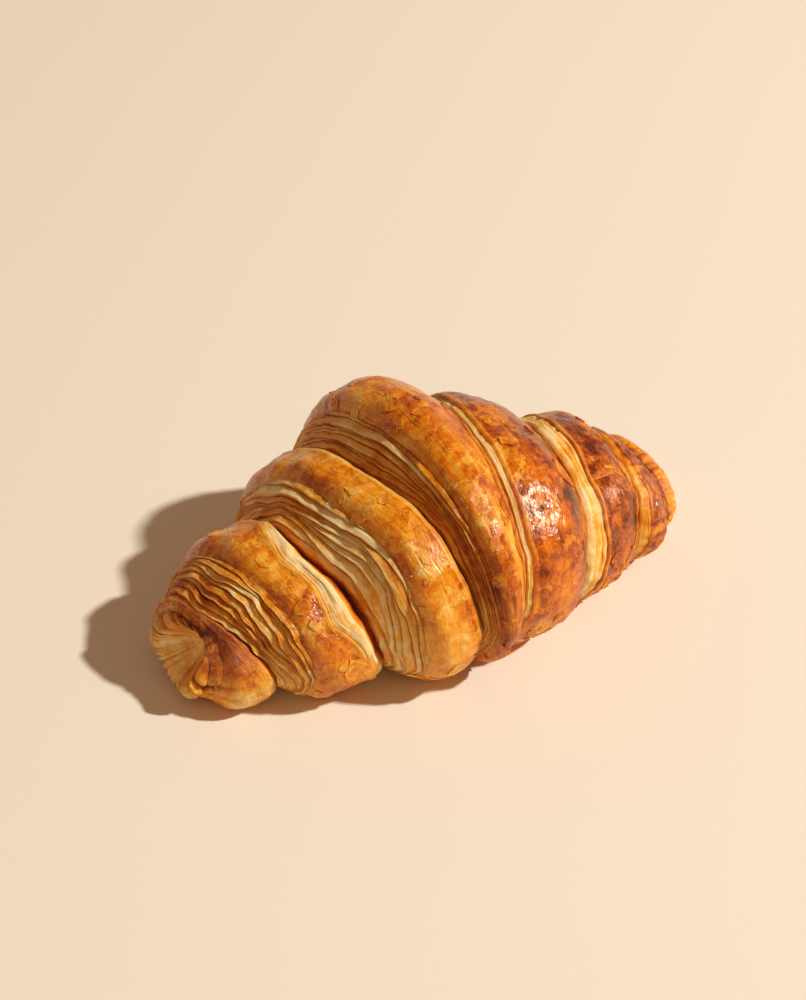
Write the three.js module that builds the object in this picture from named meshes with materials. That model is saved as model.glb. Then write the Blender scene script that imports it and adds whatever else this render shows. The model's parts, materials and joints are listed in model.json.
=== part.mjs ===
// A plain butter croissant: a tapering triangle of laminated dough, rolled up from its wide base to its
// point and baked as one piece. It is modelled as that roll really lies: the two long edges of the
// triangle run round the loaf as helices, from the point that is tucked underneath out to both ends, and
// the crust steps down by one wrap where it crosses one of them.
// Millimetres, +Z up, +X along the roll. The origin is on the table, under the middle of the loaf.
import * as THREE from "three";

// The smooth body under the wraps, at stations along x: half its width and its height.
const STATIONS = [
  { x: -78.5, half: 12.4, high: 19.9 },
  { x: -69.1, half: 18.4, high: 26.5 },
  { x: -60.8, half: 21.5, high: 30.1 },
  { x: -45.1, half: 26.7, high: 37.4 },
  { x: -24.7, half: 36.8, high: 47.7 },
  { x: 0, half: 42.75, high: 60.7 },
  { x: 21.6, half: 37.2, high: 52 },
  { x: 39.3, half: 29.6, high: 40.4 },
  { x: 47.9, half: 26.3, high: 36.7 },
  { x: 59.7, half: 22.4, high: 31.8 },
  { x: 69.9, half: 16.2, high: 22.5 },
  { x: 78.5, half: 11.9, high: 13.9 },
];
const LEFT_END_X = -78.5;
const RIGHT_END_X = 78.5;

// Where the edges of the dough run: how far from the dough's point an edge has got after so many turns.
const DOUGH_POINT_X = -4.2;
const DOUGH_POINT_ANGLE = THREE.MathUtils.degToRad(-98);
const TURNS = 3;
const LEFT_EDGE = [
  { turns: 0, reach: 0 },
  { turns: 0.44, reach: 9.8 },
  { turns: 0.62, reach: 15.2 },
  { turns: 1, reach: 22 },
  { turns: 1.44, reach: 32 },
  { turns: 1.85, reach: 45 },
  { turns: 2.27, reach: 54.5 },
  { turns: 2.44, reach: 61 },
  { turns: 2.61, reach: 66.8 },
  { turns: 2.8, reach: 69.3 },
  { turns: TURNS, reach: 70 },
];
const RIGHT_EDGE = [
  { turns: 0, reach: 0 },
  { turns: 0.25, reach: 6 },
  { turns: 0.44, reach: 12.8 },
  { turns: 0.62, reach: 21.5 },
  { turns: 1, reach: 26.5 },
  { turns: 1.22, reach: 31 },
  { turns: 1.44, reach: 39 },
  { turns: 1.62, reach: 46 },
  { turns: 2, reach: 51 },
  { turns: 2.22, reach: 55 },
  { turns: 2.44, reach: 61 },
  { turns: 2.6, reach: 65.5 },
  { turns: TURNS, reach: 72.5 },
];

// The wraps themselves.
const STEP = 4.6; // how far the crust drops at the edge of a wrap
const HALF_STEP = STEP / 2; // the smooth body runs midway between the top and the foot of a step
const DOME = 3.6; // how far the middle of a wrap swells
const POINT_TAPER_TURNS = 0.12; // the dough's point is pressed thin over this much of a turn
const SHOULDER = 0.8; // the share of a wrap after which it rounds over to its edge
const LAST_LOSS = 0.5; // the share of its swell that the last wrap has lost where it closes on the end
const JOIN_POWER = 6; // how late in the first turn the outermost wrap takes the shape of the next one

// The cross-section: a flat-bottomed round.
const BELLY = 0.43; // the height of the widest line, as a share of the height
const UNDERSIDE = 1.14; // how far the round would reach below the table, over the belly's height
const SIDE_ROUNDNESS = 0.92; // 1 is an ellipse, and less is a fuller round
const TOP_ROUNDNESS = 0.96;
const RIGHT_TIP_LIFT = 2; // the right tip stands clear of the table
const LIFT_FROM_X = 44;
const SWAY = -7.5; // the roll lies a little askew: its right end is further forward by this much

// How finely the crust is faceted.
const COLUMNS = 48;
const WRAP_SHARES = [0, 0.14, 0.38, 0.62, 0.82, 0.94];
const CAP_RINGS = [0.55, 0.83, 0.96];

const smooth = (t) => THREE.MathUtils.smoothstep(t, 0, 1);

// A value between knots of uneven spacing, on a smooth curve through all of them.
function along(knots, across, value, place) {
  const last = knots.length - 1;
  const at = THREE.MathUtils.clamp(place, knots[0][across], knots[last][across]);
  const end = Math.max(knots.findIndex((knot) => knot[across] >= at), 1);
  const slope = (k) => {
    const before = knots[Math.max(k - 1, 0)];
    const after = knots[Math.min(k + 1, last)];
    return (after[value] - before[value]) / (after[across] - before[across]);
  };
  const gap = knots[end][across] - knots[end - 1][across];
  const t = (at - knots[end - 1][across]) / gap;
  const rise = knots[end][value] - knots[end - 1][value];
  const a = slope(end - 1) * gap;
  const b = slope(end) * gap;
  return knots[end - 1][value] + t * (a + t * (3 * rise - 2 * a - b + t * (a + b - 2 * rise)));
}

const leftEdgeX = (turns) => DOUGH_POINT_X - along(LEFT_EDGE, "turns", "reach", turns);
const rightEdgeX = (turns) => DOUGH_POINT_X + along(RIGHT_EDGE, "turns", "reach", turns);

// How far a wrap stands off the smooth body, at a share of the way from its covered side to its own edge.
function wrapOffset(share) {
  const shoulder = HALF_STEP * smooth((share - SHOULDER) / (1 - SHOULDER));
  return STEP * share - HALF_STEP + DOME * (1 - (2 * share - 1) ** 2) - shoulder;
}

// The outermost wrap is free at both edges, so it is domed about the roll's middle.
function outerOffset(share, turn) {
  const shoulder = STEP * smooth((share - SHOULDER) / (1 - SHOULDER));
  return (HALF_STEP + DOME * (1 - share * share) - shoulder) * smooth(turn / POINT_TAPER_TURNS);
}

// A point of the crust: x along the roll, angle round it (0 front, 90 degrees top), offset off the body,
// and shrink, which draws the section in towards its middle for the rounded ends.
function crustPoint(x, angle, offset, shrink = 1) {
  const half = along(STATIONS, "x", "half", x) + offset;
  const high = along(STATIONS, "x", "high", x) + offset;
  const belly = high * BELLY;
  const up = Math.sin(angle);
  const across = Math.cos(angle);
  const y = -half * Math.sign(across) * Math.abs(across) ** SIDE_ROUNDNESS * shrink;
  const rise = up > 0 ? (high - belly) * up ** TOP_ROUNDNESS : belly * UNDERSIDE * up;
  const lift = RIGHT_TIP_LIFT * smooth((x - LIFT_FROM_X) / (RIGHT_END_X - LIFT_FROM_X));
  const sway = (SWAY * x) / RIGHT_END_X;
  return [x, y + sway, Math.max(belly + rise * shrink + lift, 0)];
}

// One side of the roll at one angle, from the middle of the outermost wrap out to the end ring. The last
// wrap is a wedge that closes up after a full turn, so the end ring is a plain ring.
function sideRow(edgeX, turn) {
  const row = [];
  for (let wrap = 0; wrap <= TURNS; wrap++) {
    const inner = wrap === 0 ? DOUGH_POINT_X : edgeX(wrap - 1 + turn);
    const outer = wrap === TURNS ? edgeX(TURNS) : edgeX(wrap + turn);
    // At the seam, a wrap of one turn is the next wrap of the turn before.
    const joined = wrap === 0 ? turn ** JOIN_POWER : 1;
    const closing = wrap === TURNS ? 1 - LAST_LOSS * turn : 1;
    for (const share of WRAP_SHARES) {
      const offset = outerOffset(share, turn) * (1 - joined) + wrapOffset(share) * joined;
      row.push({ x: inner + (outer - inner) * share, offset: offset * closing });
    }
  }
  row.push({ x: edgeX(TURNS), offset: 0 });
  return row;
}

function rollGeometry() {
  const positions = [];
  const add = (point) => positions.push(...point) / 3 - 1;
  const perWrap = WRAP_SHARES.length;
  const ring = (TURNS + 1) * perWrap; // index of the end ring in a side row

  // grid[column][side][k] is a vertex: side 0 runs left and side 1 right, and both share k = 0.
  const grid = [];
  for (let c = 0; c < COLUMNS; c++) {
    const turn = c / COLUMNS;
    const angle = DOUGH_POINT_ANGLE + 2 * Math.PI * turn;
    const rows = [sideRow(leftEdgeX, turn), sideRow(rightEdgeX, turn)];
    const middle = add(crustPoint(DOUGH_POINT_X, angle, rows[0][0].offset));
    grid.push(rows.map((row) => row.map((p, k) => {
      // At the dough's very point the outermost wrap has no width: it is one vertex.
      if (k === 0 || (c === 0 && k <= perWrap)) return middle;
      return add(crustPoint(p.x, angle, p.offset));
    })));
  }
  // After a full turn each wrap meets the next one out, and the wedge has closed on the end ring.
  grid.push(grid[0].map((side) => side.map((_, k) => side[Math.min(k + perWrap, ring)])));

  const triangles = [];
  const face = (a, b, c) => {
    if (a !== b && b !== c && a !== c) triangles.push(a, b, c);
  };
  const quadFace = (quad, flip) => {
    if (flip) quad.reverse();
    face(quad[0], quad[1], quad[2]);
    face(quad[0], quad[2], quad[3]);
  };
  for (let c = 0; c < COLUMNS; c++) {
    for (const side of [0, 1]) {
      const here = grid[c][side];
      const next = grid[c + 1][side];
      for (let k = 0; k < ring; k++) {
        quadFace([here[k], here[k + 1], next[k + 1], next[k]], side === 0);
      }
    }
  }

  // The rounded ends, ring by ring out to one vertex.
  const ends = [[0, leftEdgeX(TURNS), LEFT_END_X], [1, rightEdgeX(TURNS), RIGHT_END_X]];
  for (const [side, startX, endX] of ends) {
    let from = Array.from({ length: COLUMNS }, (_, c) => grid[c][side][ring]);
    const capPoint = (share, c) => {
      const angle = DOUGH_POINT_ANGLE + (2 * Math.PI * c) / COLUMNS;
      return crustPoint(startX + (endX - startX) * share, angle, 0, Math.sqrt(1 - share * share));
    };
    for (const share of CAP_RINGS) {
      const to = from.map((_, c) => add(capPoint(share, c)));
      for (let c = 0; c < COLUMNS; c++) {
        const d = (c + 1) % COLUMNS;
        quadFace([from[c], to[c], to[d], from[d]], side === 0);
      }
      from = to;
    }
    const pole = add(capPoint(1, 0));
    for (let c = 0; c < COLUMNS; c++) {
      const d = (c + 1) % COLUMNS;
      quadFace([from[c], pole, pole, from[d]], side === 0);
    }
  }

  const geometry = new THREE.BufferGeometry();
  geometry.setAttribute("position", new THREE.Float32BufferAttribute(positions, 3));
  geometry.setIndex(triangles);
  geometry.computeVertexNormals();
  return geometry;
}

const crust = new THREE.MeshStandardMaterial({ color: 0xc87a2a, roughness: 0.45, metalness: 0 });

const croissant = new THREE.Mesh(rollGeometry(), crust);
croissant.name = "croissant";

const part = new THREE.Group();
part.add(croissant);

export default part;
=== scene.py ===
# %% [markdown]
# # A plain butter croissant
# A croissant is one long triangle of laminated dough, rolled up from its wide base to its point and baked.
# Its two long edges run round the loaf like the thread of a screw, and each one is a place where the
# crust steps down by one wrap and shows the cut ends of its layers. This lesson makes the whole crust as
# one closed mesh that is laid out along those two threads, and then bakes it with colour, egg wash and
# loose flakes of skin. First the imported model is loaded. It fixes the size and the place of everything.

# %% The frame and its size
import json
import math

import bpy
import numpy as np
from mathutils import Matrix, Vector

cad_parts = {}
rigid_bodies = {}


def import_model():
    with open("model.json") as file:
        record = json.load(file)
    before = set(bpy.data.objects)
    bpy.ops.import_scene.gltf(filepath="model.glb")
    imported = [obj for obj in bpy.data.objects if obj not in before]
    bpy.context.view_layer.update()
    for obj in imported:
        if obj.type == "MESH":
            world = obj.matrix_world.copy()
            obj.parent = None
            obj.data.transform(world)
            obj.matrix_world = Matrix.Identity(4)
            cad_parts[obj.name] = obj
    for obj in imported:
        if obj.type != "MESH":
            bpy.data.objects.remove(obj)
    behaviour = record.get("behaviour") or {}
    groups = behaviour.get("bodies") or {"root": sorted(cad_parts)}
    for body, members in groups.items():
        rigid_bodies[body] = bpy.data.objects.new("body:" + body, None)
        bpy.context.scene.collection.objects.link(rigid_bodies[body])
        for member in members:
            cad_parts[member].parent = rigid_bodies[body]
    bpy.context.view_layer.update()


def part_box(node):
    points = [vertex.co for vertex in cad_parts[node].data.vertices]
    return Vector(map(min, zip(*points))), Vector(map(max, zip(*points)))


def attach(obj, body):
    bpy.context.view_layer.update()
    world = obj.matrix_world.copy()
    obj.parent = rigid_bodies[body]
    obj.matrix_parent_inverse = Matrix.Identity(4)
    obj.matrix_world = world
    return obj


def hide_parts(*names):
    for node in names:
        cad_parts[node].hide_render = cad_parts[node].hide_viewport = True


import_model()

MM = 0.001
low, high = (np.array(corner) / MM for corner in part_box("croissant"))
HALF_LENGTH = (high[0] - low[0]) / 2
HALF_DEPTH = (high[1] - low[1]) / 2
HEIGHT = high[2]
MIDDLE_X = (high[0] + low[0]) / 2
MIDDLE_Y = (high[1] + low[1]) / 2
print(f"loaf box: {2 * HALF_LENGTH:.1f} x {2 * HALF_DEPTH:.1f} x {HEIGHT:.1f} mm")


# %% [markdown]
# ## The camera
# The loaf is seen from above its front left, from about its own length times four. A long lens keeps
# the near end from looking swollen. The camera is placed by an azimuth and an elevation round a target,
# which is the easiest way to think about a product shot.

# %% Camera
VIEW_AZIMUTH = math.radians(-34.7)
VIEW_ELEVATION = math.radians(40.3)
VIEW_DISTANCE = 590 * MM
LENS = 75
TARGET = np.array([5.3, 17.5, 20.0]) * MM


def direction(azimuth, elevation):
    """The unit vector from the table towards a camera or a lamp; azimuth 0 stands in front, at -Y."""
    flat = math.cos(elevation)
    return np.array([math.sin(azimuth) * flat, -math.cos(azimuth) * flat, math.sin(elevation)])


def aim(thing, target):
    """Turn a camera or a lamp, which look along their own -Z, towards a point."""
    from mathutils import Vector
    way = Vector(target) - thing.location
    thing.rotation_euler = way.to_track_quat("-Z", "Y").to_euler()


camera = bpy.data.objects.new("camera", bpy.data.cameras.new("camera"))
camera.data.lens = LENS
camera.location = TARGET + direction(VIEW_AZIMUTH, VIEW_ELEVATION) * VIEW_DISTANCE
aim(camera, TARGET)
bpy.context.collection.objects.link(camera)
bpy.context.scene.camera = camera
print(f"camera at {[round(c, 3) for c in camera.location]} m")


# %% [markdown]
# ## Light
# The light is one small, high softbox from the right, which gives the crisp long shadow, and a weak warm
# fill from everywhere, which stands for light that the peach surroundings throw back. The picture uses
# the Standard view, because the filmic ones would grey the oranges of the crust.

# %% Lamp and fill
LAMP_AZIMUTH = math.radians(48)
LAMP_ELEVATION = math.radians(44)
LAMP_DISTANCE = 3.0
LAMP_SIZE = 0.15
LAMP_POWER = 96
FILL_COLOUR = (0.30, 0.195, 0.135, 1)

lamp = bpy.data.objects.new("softbox", bpy.data.lights.new("softbox", "AREA"))
lamp.data.shape = "DISK"
lamp.data.size = LAMP_SIZE
lamp.data.energy = LAMP_POWER
lamp.location = direction(LAMP_AZIMUTH, LAMP_ELEVATION) * LAMP_DISTANCE
aim(lamp, (0, 0, 0))
bpy.context.collection.objects.link(lamp)

world = bpy.data.worlds.new("fill")
world.use_nodes = True
world.node_tree.nodes["Background"].inputs["Color"].default_value = FILL_COLOUR
bpy.context.scene.world = world
bpy.context.scene.view_settings.view_transform = "Standard"


# %% [markdown]
# ## Shader maths in plain Python
# A material is a sum of small patterns, and sums read best as sums. This small class wraps a socket, so
# that `0.5 + 0.2 * noise` adds the Math nodes by itself. Any other node comes from `Recipe.node`.

# %% A socket that does arithmetic
class Wire:
    """One output socket of a shader, with the arithmetic that this lesson uses."""

    def __init__(self, recipe, socket):
        self.recipe = recipe
        self.socket = socket

    def _maths(self, operation, *values):
        return self.recipe.node("ShaderNodeMath", dict(operation=operation), *values)

    def __add__(self, other):
        return self._maths("ADD", self, other)

    def __sub__(self, other):
        return self._maths("SUBTRACT", self, other)

    def __rsub__(self, other):
        return self._maths("SUBTRACT", other, self)

    def __mul__(self, other):
        return self._maths("MULTIPLY", self, other)

    __radd__ = __add__
    __rmul__ = __mul__

    def between(self, low_value, high_value):
        """0 below low_value, 1 above high_value and a soft ramp from one to the other."""
        settings = dict(interpolation_type="SMOOTHSTEP")
        return self.recipe.node("ShaderNodeMapRange", settings, self, low_value, high_value)


class Graph:
    """Any tree of nodes under construction."""

    def __init__(self, tree):
        self.tree = tree

    def node(self, kind, settings, *values, out=0, **named):
        """Add a node: its settings first, then the values or wires of its sockets by order or by name."""
        made = self.tree.nodes.new(kind)
        for key, value in settings.items():
            setattr(made, key, value)
        for place, value in enumerate(values):
            self.plug(made.inputs[place], value)
        for name, value in named.items():
            shown = [socket for socket in made.inputs if socket.enabled]
            self.plug(next(socket for socket in shown if socket.name == name.replace("_", " ")), value)
        return Wire(self, made.outputs[out])

    def plug(self, socket, value):
        if isinstance(value, Wire):
            self.tree.links.new(value.socket, socket)
        else:
            socket.default_value = value


class Recipe(Graph):
    """A material under construction."""

    def __init__(self, name):
        self.material = bpy.data.materials.new(name)
        self.material.use_nodes = True
        super().__init__(self.material.node_tree)
        self.skin = self.tree.nodes["Principled BSDF"]

    def ramp(self, factor, *stops):
        """A colour ramp: stops are (place, colour) from dark to light."""
        colours = self.node("ShaderNodeValToRGB", {}, factor)
        band = colours.socket.node.color_ramp
        while len(band.elements) < len(stops):
            band.elements.new(0.5)
        for element, (place, colour) in zip(band.elements, stops):
            element.position = place
            element.color = (*colour, 1)
        return colours

    def mix(self, factor, first, second):
        """Colours are mixed here, and not with Math nodes, which would turn them grey."""
        mixed = self.node("ShaderNodeMix", dict(data_type="RGBA"), factor, out=2)
        for socket, value in ((6, first), (7, second)):
            self.plug(mixed.socket.node.inputs[socket], value)
        return mixed

    def finish(self, **sockets):
        """Fill in the Principled shader's own sockets."""
        for name, value in sockets.items():
            self.plug(self.skin.inputs[name.replace("_", " ")], value)
        return self.material


def srgb(*levels):
    """A colour as a painter names it, 0 to 255, turned into the linear light that a shader adds up."""
    return tuple(((c / 255 + 0.055) / 1.055) ** 2.4 if c > 10 else c / 255 / 12.92 for c in levels)


# %% [markdown]
# ## The table
# A wide sheet of peach paper lies under the loaf. It has almost no pattern, only a breath of unevenness,
# so that the loaf's shadow is what the eye reads.

# %% Paper
PAPER = srgb(240, 229, 206)
PAPER_CLOUD = srgb(226, 190, 160)
PAPER_SIZE = 40.0   # metres
PAPER_CLOUDS = 6.0  # to the metre

paper_mesh = bpy.data.meshes.new("paper")
half = PAPER_SIZE / 2
corners = [(-half, -half, 0), (half, -half, 0), (half, half, 0), (-half, half, 0)]
paper_mesh.from_pydata(corners, [], [(0, 1, 2, 3)])
paper = bpy.data.objects.new("paper", paper_mesh)
bpy.context.collection.objects.link(paper)
recipe = Recipe("paper")
spot_on_paper = recipe.node("ShaderNodeTexCoord", {}, out="Object")
cloud = recipe.node("ShaderNodeTexNoise", {}, Vector=spot_on_paper, Scale=PAPER_CLOUDS, Detail=3.0)
paper_colour = recipe.mix(0.06 * cloud, (*PAPER, 1), (*PAPER_CLOUD, 1))
paper_mesh.materials.append(recipe.finish(Base_Color=paper_colour, Roughness=0.8, Specular_IOR_Level=0.2))
print(f"paper {PAPER_SIZE:.0f} m wide")


# %% [markdown]
# ## A grain to shape with
# Nothing that was baked is smooth or regular, so every rule below is loosened by a little noise. This is
# gradient noise in plain numpy. Its seed is fixed, so the loaf comes out the same each time.

# %% Noise
class Grain:
    """Smooth random values between about -1 and 1, the same ones for the same seed."""

    def __init__(self, seed):
        dice = np.random.default_rng(seed)
        self.order = np.tile(dice.permutation(256), 3)
        slopes = dice.normal(size=(256, 3))
        self.slopes = slopes / np.linalg.norm(slopes, axis=1, keepdims=True)

    def __call__(self, x, y=0.0, z=0.0):
        at = np.stack(np.broadcast_arrays(x, y, z), -1).astype(float)
        cell = np.floor(at).astype(int)
        inside = at - cell
        cell = cell & 255
        ease = inside ** 3 * (inside * (inside * 6 - 15) + 10)
        total = 0.0
        for corner in np.ndindex(2, 2, 2):
            step = np.array(corner)
            key = self.order[cell[..., 0] + step[0]]
            key = self.order[key + cell[..., 1] + step[1]]
            key = self.order[key + cell[..., 2] + step[2]]
            weight = np.prod(np.where(step, ease, 1 - ease), axis=-1)
            total = total + weight * ((inside - step) * self.slopes[key]).sum(-1)
        return total * 1.6


grain = Grain(seed=11)
edge_grain = Grain(seed=23)
print(f"grain at one point: {float(grain(0.3, 0.7, 0.1)):.4f}")


# %% [markdown]
# ## The body
# Under its wraps the loaf is a plain spindle, widest and tallest at its middle, with blunt ends. A few
# stations along its length fix it, each a share of the loaf's own box, and a smooth curve joins them. A
# section across it is a flattened oval with its belly low down, cut off by the table.

# %% Stations and sections
# along the loaf (-1 to 1), half width and height, as shares of the box
STATIONS = np.array([
    (-1.00, 0.26, 0.30), (-0.88, 0.39, 0.405), (-0.775, 0.465, 0.47), (-0.575, 0.56, 0.565),
    (-0.315, 0.77, 0.72), (0.0, 0.885, 0.90), (0.275, 0.78, 0.785), (0.50, 0.62, 0.61),
    (0.61, 0.55, 0.555), (0.76, 0.47, 0.48), (0.89, 0.34, 0.34), (1.00, 0.25, 0.21),
])
BELLY = 0.43           # how far up its height a section is widest
TUCK = 0.14            # how much a section draws in below its belly
UNDERSIDE = 1.14       # how far a section would reach below the table, if the table weren't there
SIDE_ROUNDNESS = 0.92  # 1 is an ellipse, and less is a fuller round
TOP_ROUNDNESS = 0.96
RIGHT_TIP_LIFT = 2.0  # mm that the right tip bends up
LIFT_FROM = 0.56      # share of the half length where that bend starts
SWAY = -7.5           # mm that the right tip lies nearer the front, and the left tip further back


def smooth(t):
    t = np.clip(t, 0, 1)
    return t * t * (3 - 2 * t)


def curve(knots, values, along):
    """A smooth curve through a few given values."""
    slopes = np.gradient(values, knots)
    i = np.clip(np.searchsorted(knots, along) - 1, 0, len(knots) - 2)
    gap = knots[i + 1] - knots[i]
    t = (along - knots[i]) / gap
    rise = values[i + 1] - values[i]
    a, b = slopes[i] * gap, slopes[i + 1] * gap
    return values[i] + t * (a + t * (3 * rise - 2 * a - b + t * (a + b - 2 * rise)))


def station(along, column):
    return curve(STATIONS[:, 0], STATIONS[:, column], along)


def crust_point(x, angle, offset):
    """A point of the crust in mm: x along the roll, angle round it (0 front, 90 degrees top)."""
    along = np.clip(x / HALF_LENGTH, -1, 1)
    half = station(along, 1) * HALF_DEPTH + offset
    tall = station(along, 2) * HEIGHT + offset
    belly = station(along, 2) * HEIGHT * BELLY
    up, across = np.sin(angle), np.cos(angle)
    half = half * np.where(up < 0, 1 - TUCK * up ** 2, 1.0)
    y = -half * np.sign(across) * np.abs(across) ** SIDE_ROUNDNESS
    above = (tall - belly) * np.abs(up) ** TOP_ROUNDNESS
    below = -(belly * UNDERSIDE + offset) * np.abs(up)
    z = belly + np.where(up > 0, above, below)
    lift = RIGHT_TIP_LIFT * smooth((along - LIFT_FROM) / (1 - LIFT_FROM))
    return np.stack(np.broadcast_arrays(x + MIDDLE_X, y + SWAY * along + MIDDLE_Y, z + lift), -1)


# %% [markdown]
# ## The two edges of the dough
# Each long edge of the triangle starts at the dough's point, which is tucked underneath, and turns three
# times round the loaf on its way to an end. What an edge looks like changes along its way, so its facts
# are short lists of (turns, value), with lengths in mm:
#
# - `reach`, `drop`: how far along the loaf the edge has got, and how far the crust steps down at it
# - `face`, `ridge`: how wide the cut face is that shows the layers, and how high a layer stands in it
# - `gap`, `strip`, `lip`: how deep a gap opens under the edge, how wide a strip of pale inner dough shows
#   beyond it, and how high the lip is where the next wrap's own skin begins
# - `pale`, `bake`, `deep`: how pale the strip is, how much paler the cut face is baked, and how much
#   darker the skin
# - `lines`, `plies`, `matt`: how clearly the layers show, how clearly the plies of the strip do, and how
#   much of its egg wash the skin has lost, each from 0 to 1
#
# The plain numbers of a side say which way it runs, how many layers a cut face shows, what share of a
# wrap the gap, strip and lip may take, how flat the top of a wrap is, and how far in mm the end ring
# stands out at the knob and back under the hood.

# %% Facts about the edges
DOUGH_POINT = -4.2  # mm along the roll
DOUGH_POINT_ANGLE = math.radians(-98)
TURNS = 3
LEFT = dict(
    way=-1, layers=9, room=0.5, flat_top=3.6, belly_out=1.0, hood_back=3.6,
    reach=[(0, 0), (0.44, 8.8), (0.62, 15.0), (1.0, 22), (1.44, 32), (1.85, 45), (2.27, 54.5),
           (2.36, 57.5), (2.44, 61), (2.52, 64.3), (2.61, 66.8), (2.7, 68.4), (2.8, 69.3), (3, 70)],
    drop=[(0, 0), (0.12, 3.0), (0.3, 5.4), (0.45, 6.4), (0.62, 6.0), (0.8, 5), (1.2, 5.4), (1.4, 7.2),
          (1.62, 5), (1.9, 5), (2.2, 5), (2.42, 6), (2.62, 3.6), (2.85, 1.2), (3, 0)],
    face=[(0, 1), (0.2, 4), (0.35, 7), (0.55, 11.5), (0.8, 9), (1.2, 6.5), (1.45, 9.5), (1.8, 8.5),
          (2.2, 6), (2.5, 12), (2.7, 11), (3, 3)],
    gap=[(0, 0), (0.2, 0.8), (0.4, 0.9), (0.8, 1.0), (1.15, 0.8), (1.28, 2.2), (1.36, 3.8), (1.48, 3.4),
         (1.6, 0.8), (2.2, 0.8), (2.45, 1.6), (2.8, 1), (2.95, 0)],
    strip=[(0, 0.5), (0.2, 0.6), (0.5, 0.6), (0.7, 1.4), (1.1, 1.5), (1.27, 2.0), (1.36, 4),
           (1.46, 3.8), (1.58, 2), (2.2, 1.5), (2.5, 1), (3, 0.5)],
    lip=[(0, 0), (0.2, 0.3), (0.5, 0.5), (0.8, 0.8), (1.2, 0.4), (1.5, 0.5), (2, 0.4), (2.4, 0),
         (3, 0)],
    ridge=[(0, 0), (0.15, 0.3), (0.4, 0.5), (0.56, 0.75), (1.2, 0.5), (1.45, 0.6), (2.2, 0.5),
           (2.5, 0.6), (2.9, 0.2), (3, 0)],
    pale=[(0, 0.6), (0.5, 0.75), (1.1, 0.8), (1.3, 0.9), (1.5, 0.9), (1.7, 0.7), (3, 0.6)],
    bake=[(0, 0.1), (0.24, 0.1), (0.38, -0.08), (0.5, -0.08), (0.62, 0.02), (1.4, 0.1), (1.6, 0.08),
          (2.2, 0.04), (2.4, -0.01), (3, 0)],
    lines=[(0, 0.5), (0.28, 0.5), (0.46, 0.6), (0.6, 0.9), (1.3, 0.8), (3, 0.75)],
    plies=[(0, 0.4), (3, 0.4)],
    deep=[(0, 0), (1.2, 0.01), (1.5, 0.04), (2.2, 0.10), (3, 0.10)],
    matt=[(0, 0.5), (0.24, 0.6), (0.31, 0.1), (0.4, 0), (0.46, 0.1), (0.54, 0.5), (1, 0.5), (1.26, 0.9),
          (1.32, 0.5), (1.38, 0), (1.7, 0), (2.2, 0.7), (2.32, 0.5), (2.38, 0), (2.6, 0.2), (3, 0.5)],
)
RIGHT = dict(
    way=1, layers=3, room=0.42, flat_top=3.2, belly_out=0.0, hood_back=0.0,
    reach=[(0, 0), (0.25, 6), (0.44, 12.8), (0.62, 21.5), (1.0, 26.5), (1.22, 31), (1.44, 39),
           (1.62, 46), (2, 51), (2.22, 55), (2.44, 61), (2.6, 65.5), (3, 72.5)],
    drop=[(0, 0), (0.12, 1.2), (0.4, 2.0), (0.62, 2.2), (1.0, 2.6), (1.4, 3.4), (1.62, 3.2), (2.0, 2.6),
          (2.4, 2.2), (2.85, 1), (3, 0)],
    face=[(0, 1), (0.2, 1.6), (0.5, 2.2), (1.2, 2.2), (1.45, 3.0), (2.0, 2.4), (2.5, 2.2), (3, 1.5)],
    gap=[(0, 0), (0.2, 0.35), (0.5, 0.5), (1.2, 0.5), (1.5, 0.7), (2.2, 0.5), (2.6, 0.5), (2.95, 0)],
    strip=[(0, 0.5), (0.2, 1.0), (0.5, 1.2), (0.7, 1.8), (1.1, 3.0), (1.3, 4.6), (1.5, 4.8), (1.8, 3),
           (2.3, 2.4), (3, 1)],
    lip=[(0, 0), (0.2, 0.35), (0.5, 0.45), (1.2, 0.5), (1.5, 0.6), (2.3, 0.4), (2.8, 0.2), (3, 0)],
    ridge=[(0, 0), (0.15, 0.2), (0.5, 0.35), (1.45, 0.4), (2.4, 0.35), (2.9, 0.1), (3, 0)],
    pale=[(0, 0.7), (0.4, 0.86), (1.2, 0.88), (1.5, 0.88), (2.4, 0.84), (3, 0.7)],
    bake=[(0, 0), (3, 0)],
    lines=[(0, 0.8), (3, 0.8)],
    plies=[(0, 1), (3, 1)],
    deep=[(0, 0), (0.3, 0.02), (0.5, 0), (1.3, 0), (1.6, 0.05), (3, 0.03)],
    matt=[(0, 0.5), (0.2, 0.8), (0.34, 1), (0.38, 0.9), (0.41, 0.1), (0.7, 0), (1, 0.4), (1.25, 0.5),
          (1.32, 0), (1.7, 0), (2.2, 0.3), (2.3, 0), (3, 0)],
)
DOME = 3.8                      # mm that a wrap swells between its two edges
POINT_TAPER = 0.12              # turns over which the dough's point rises out of the crust
WOBBLE = 0.75                   # mm that an edge wanders
WOBBLE_STARTS = 0.15            # turns over which an edge starts to wander
WOBBLE_STOPS = 0.4              # turns over which it stops again
HOOD_ANGLE = math.radians(70)   # where the last left edge stands over the end like a hood
KNOB_ANGLE = math.radians(-20)  # where the knob under it bulges most


def fact(side, name, turns):
    knots = np.array(side[name], float)
    return np.interp(turns, knots[:, 0], knots[:, 1])


def under_hood(angle):
    """1 under the middle of the hood and 0 round the rest of the left end."""
    return np.clip(np.cos(angle - HOOD_ANGLE), 0, 1) ** 1.5


def end_ring(side, angle):
    """How much further out than the edge's own end the roll ends at an angle, in mm."""
    out = side["belly_out"] * np.clip(np.cos(angle - KNOB_ANGLE), 0, 1) ** 2
    return out - side["hood_back"] * under_hood(angle)


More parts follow.
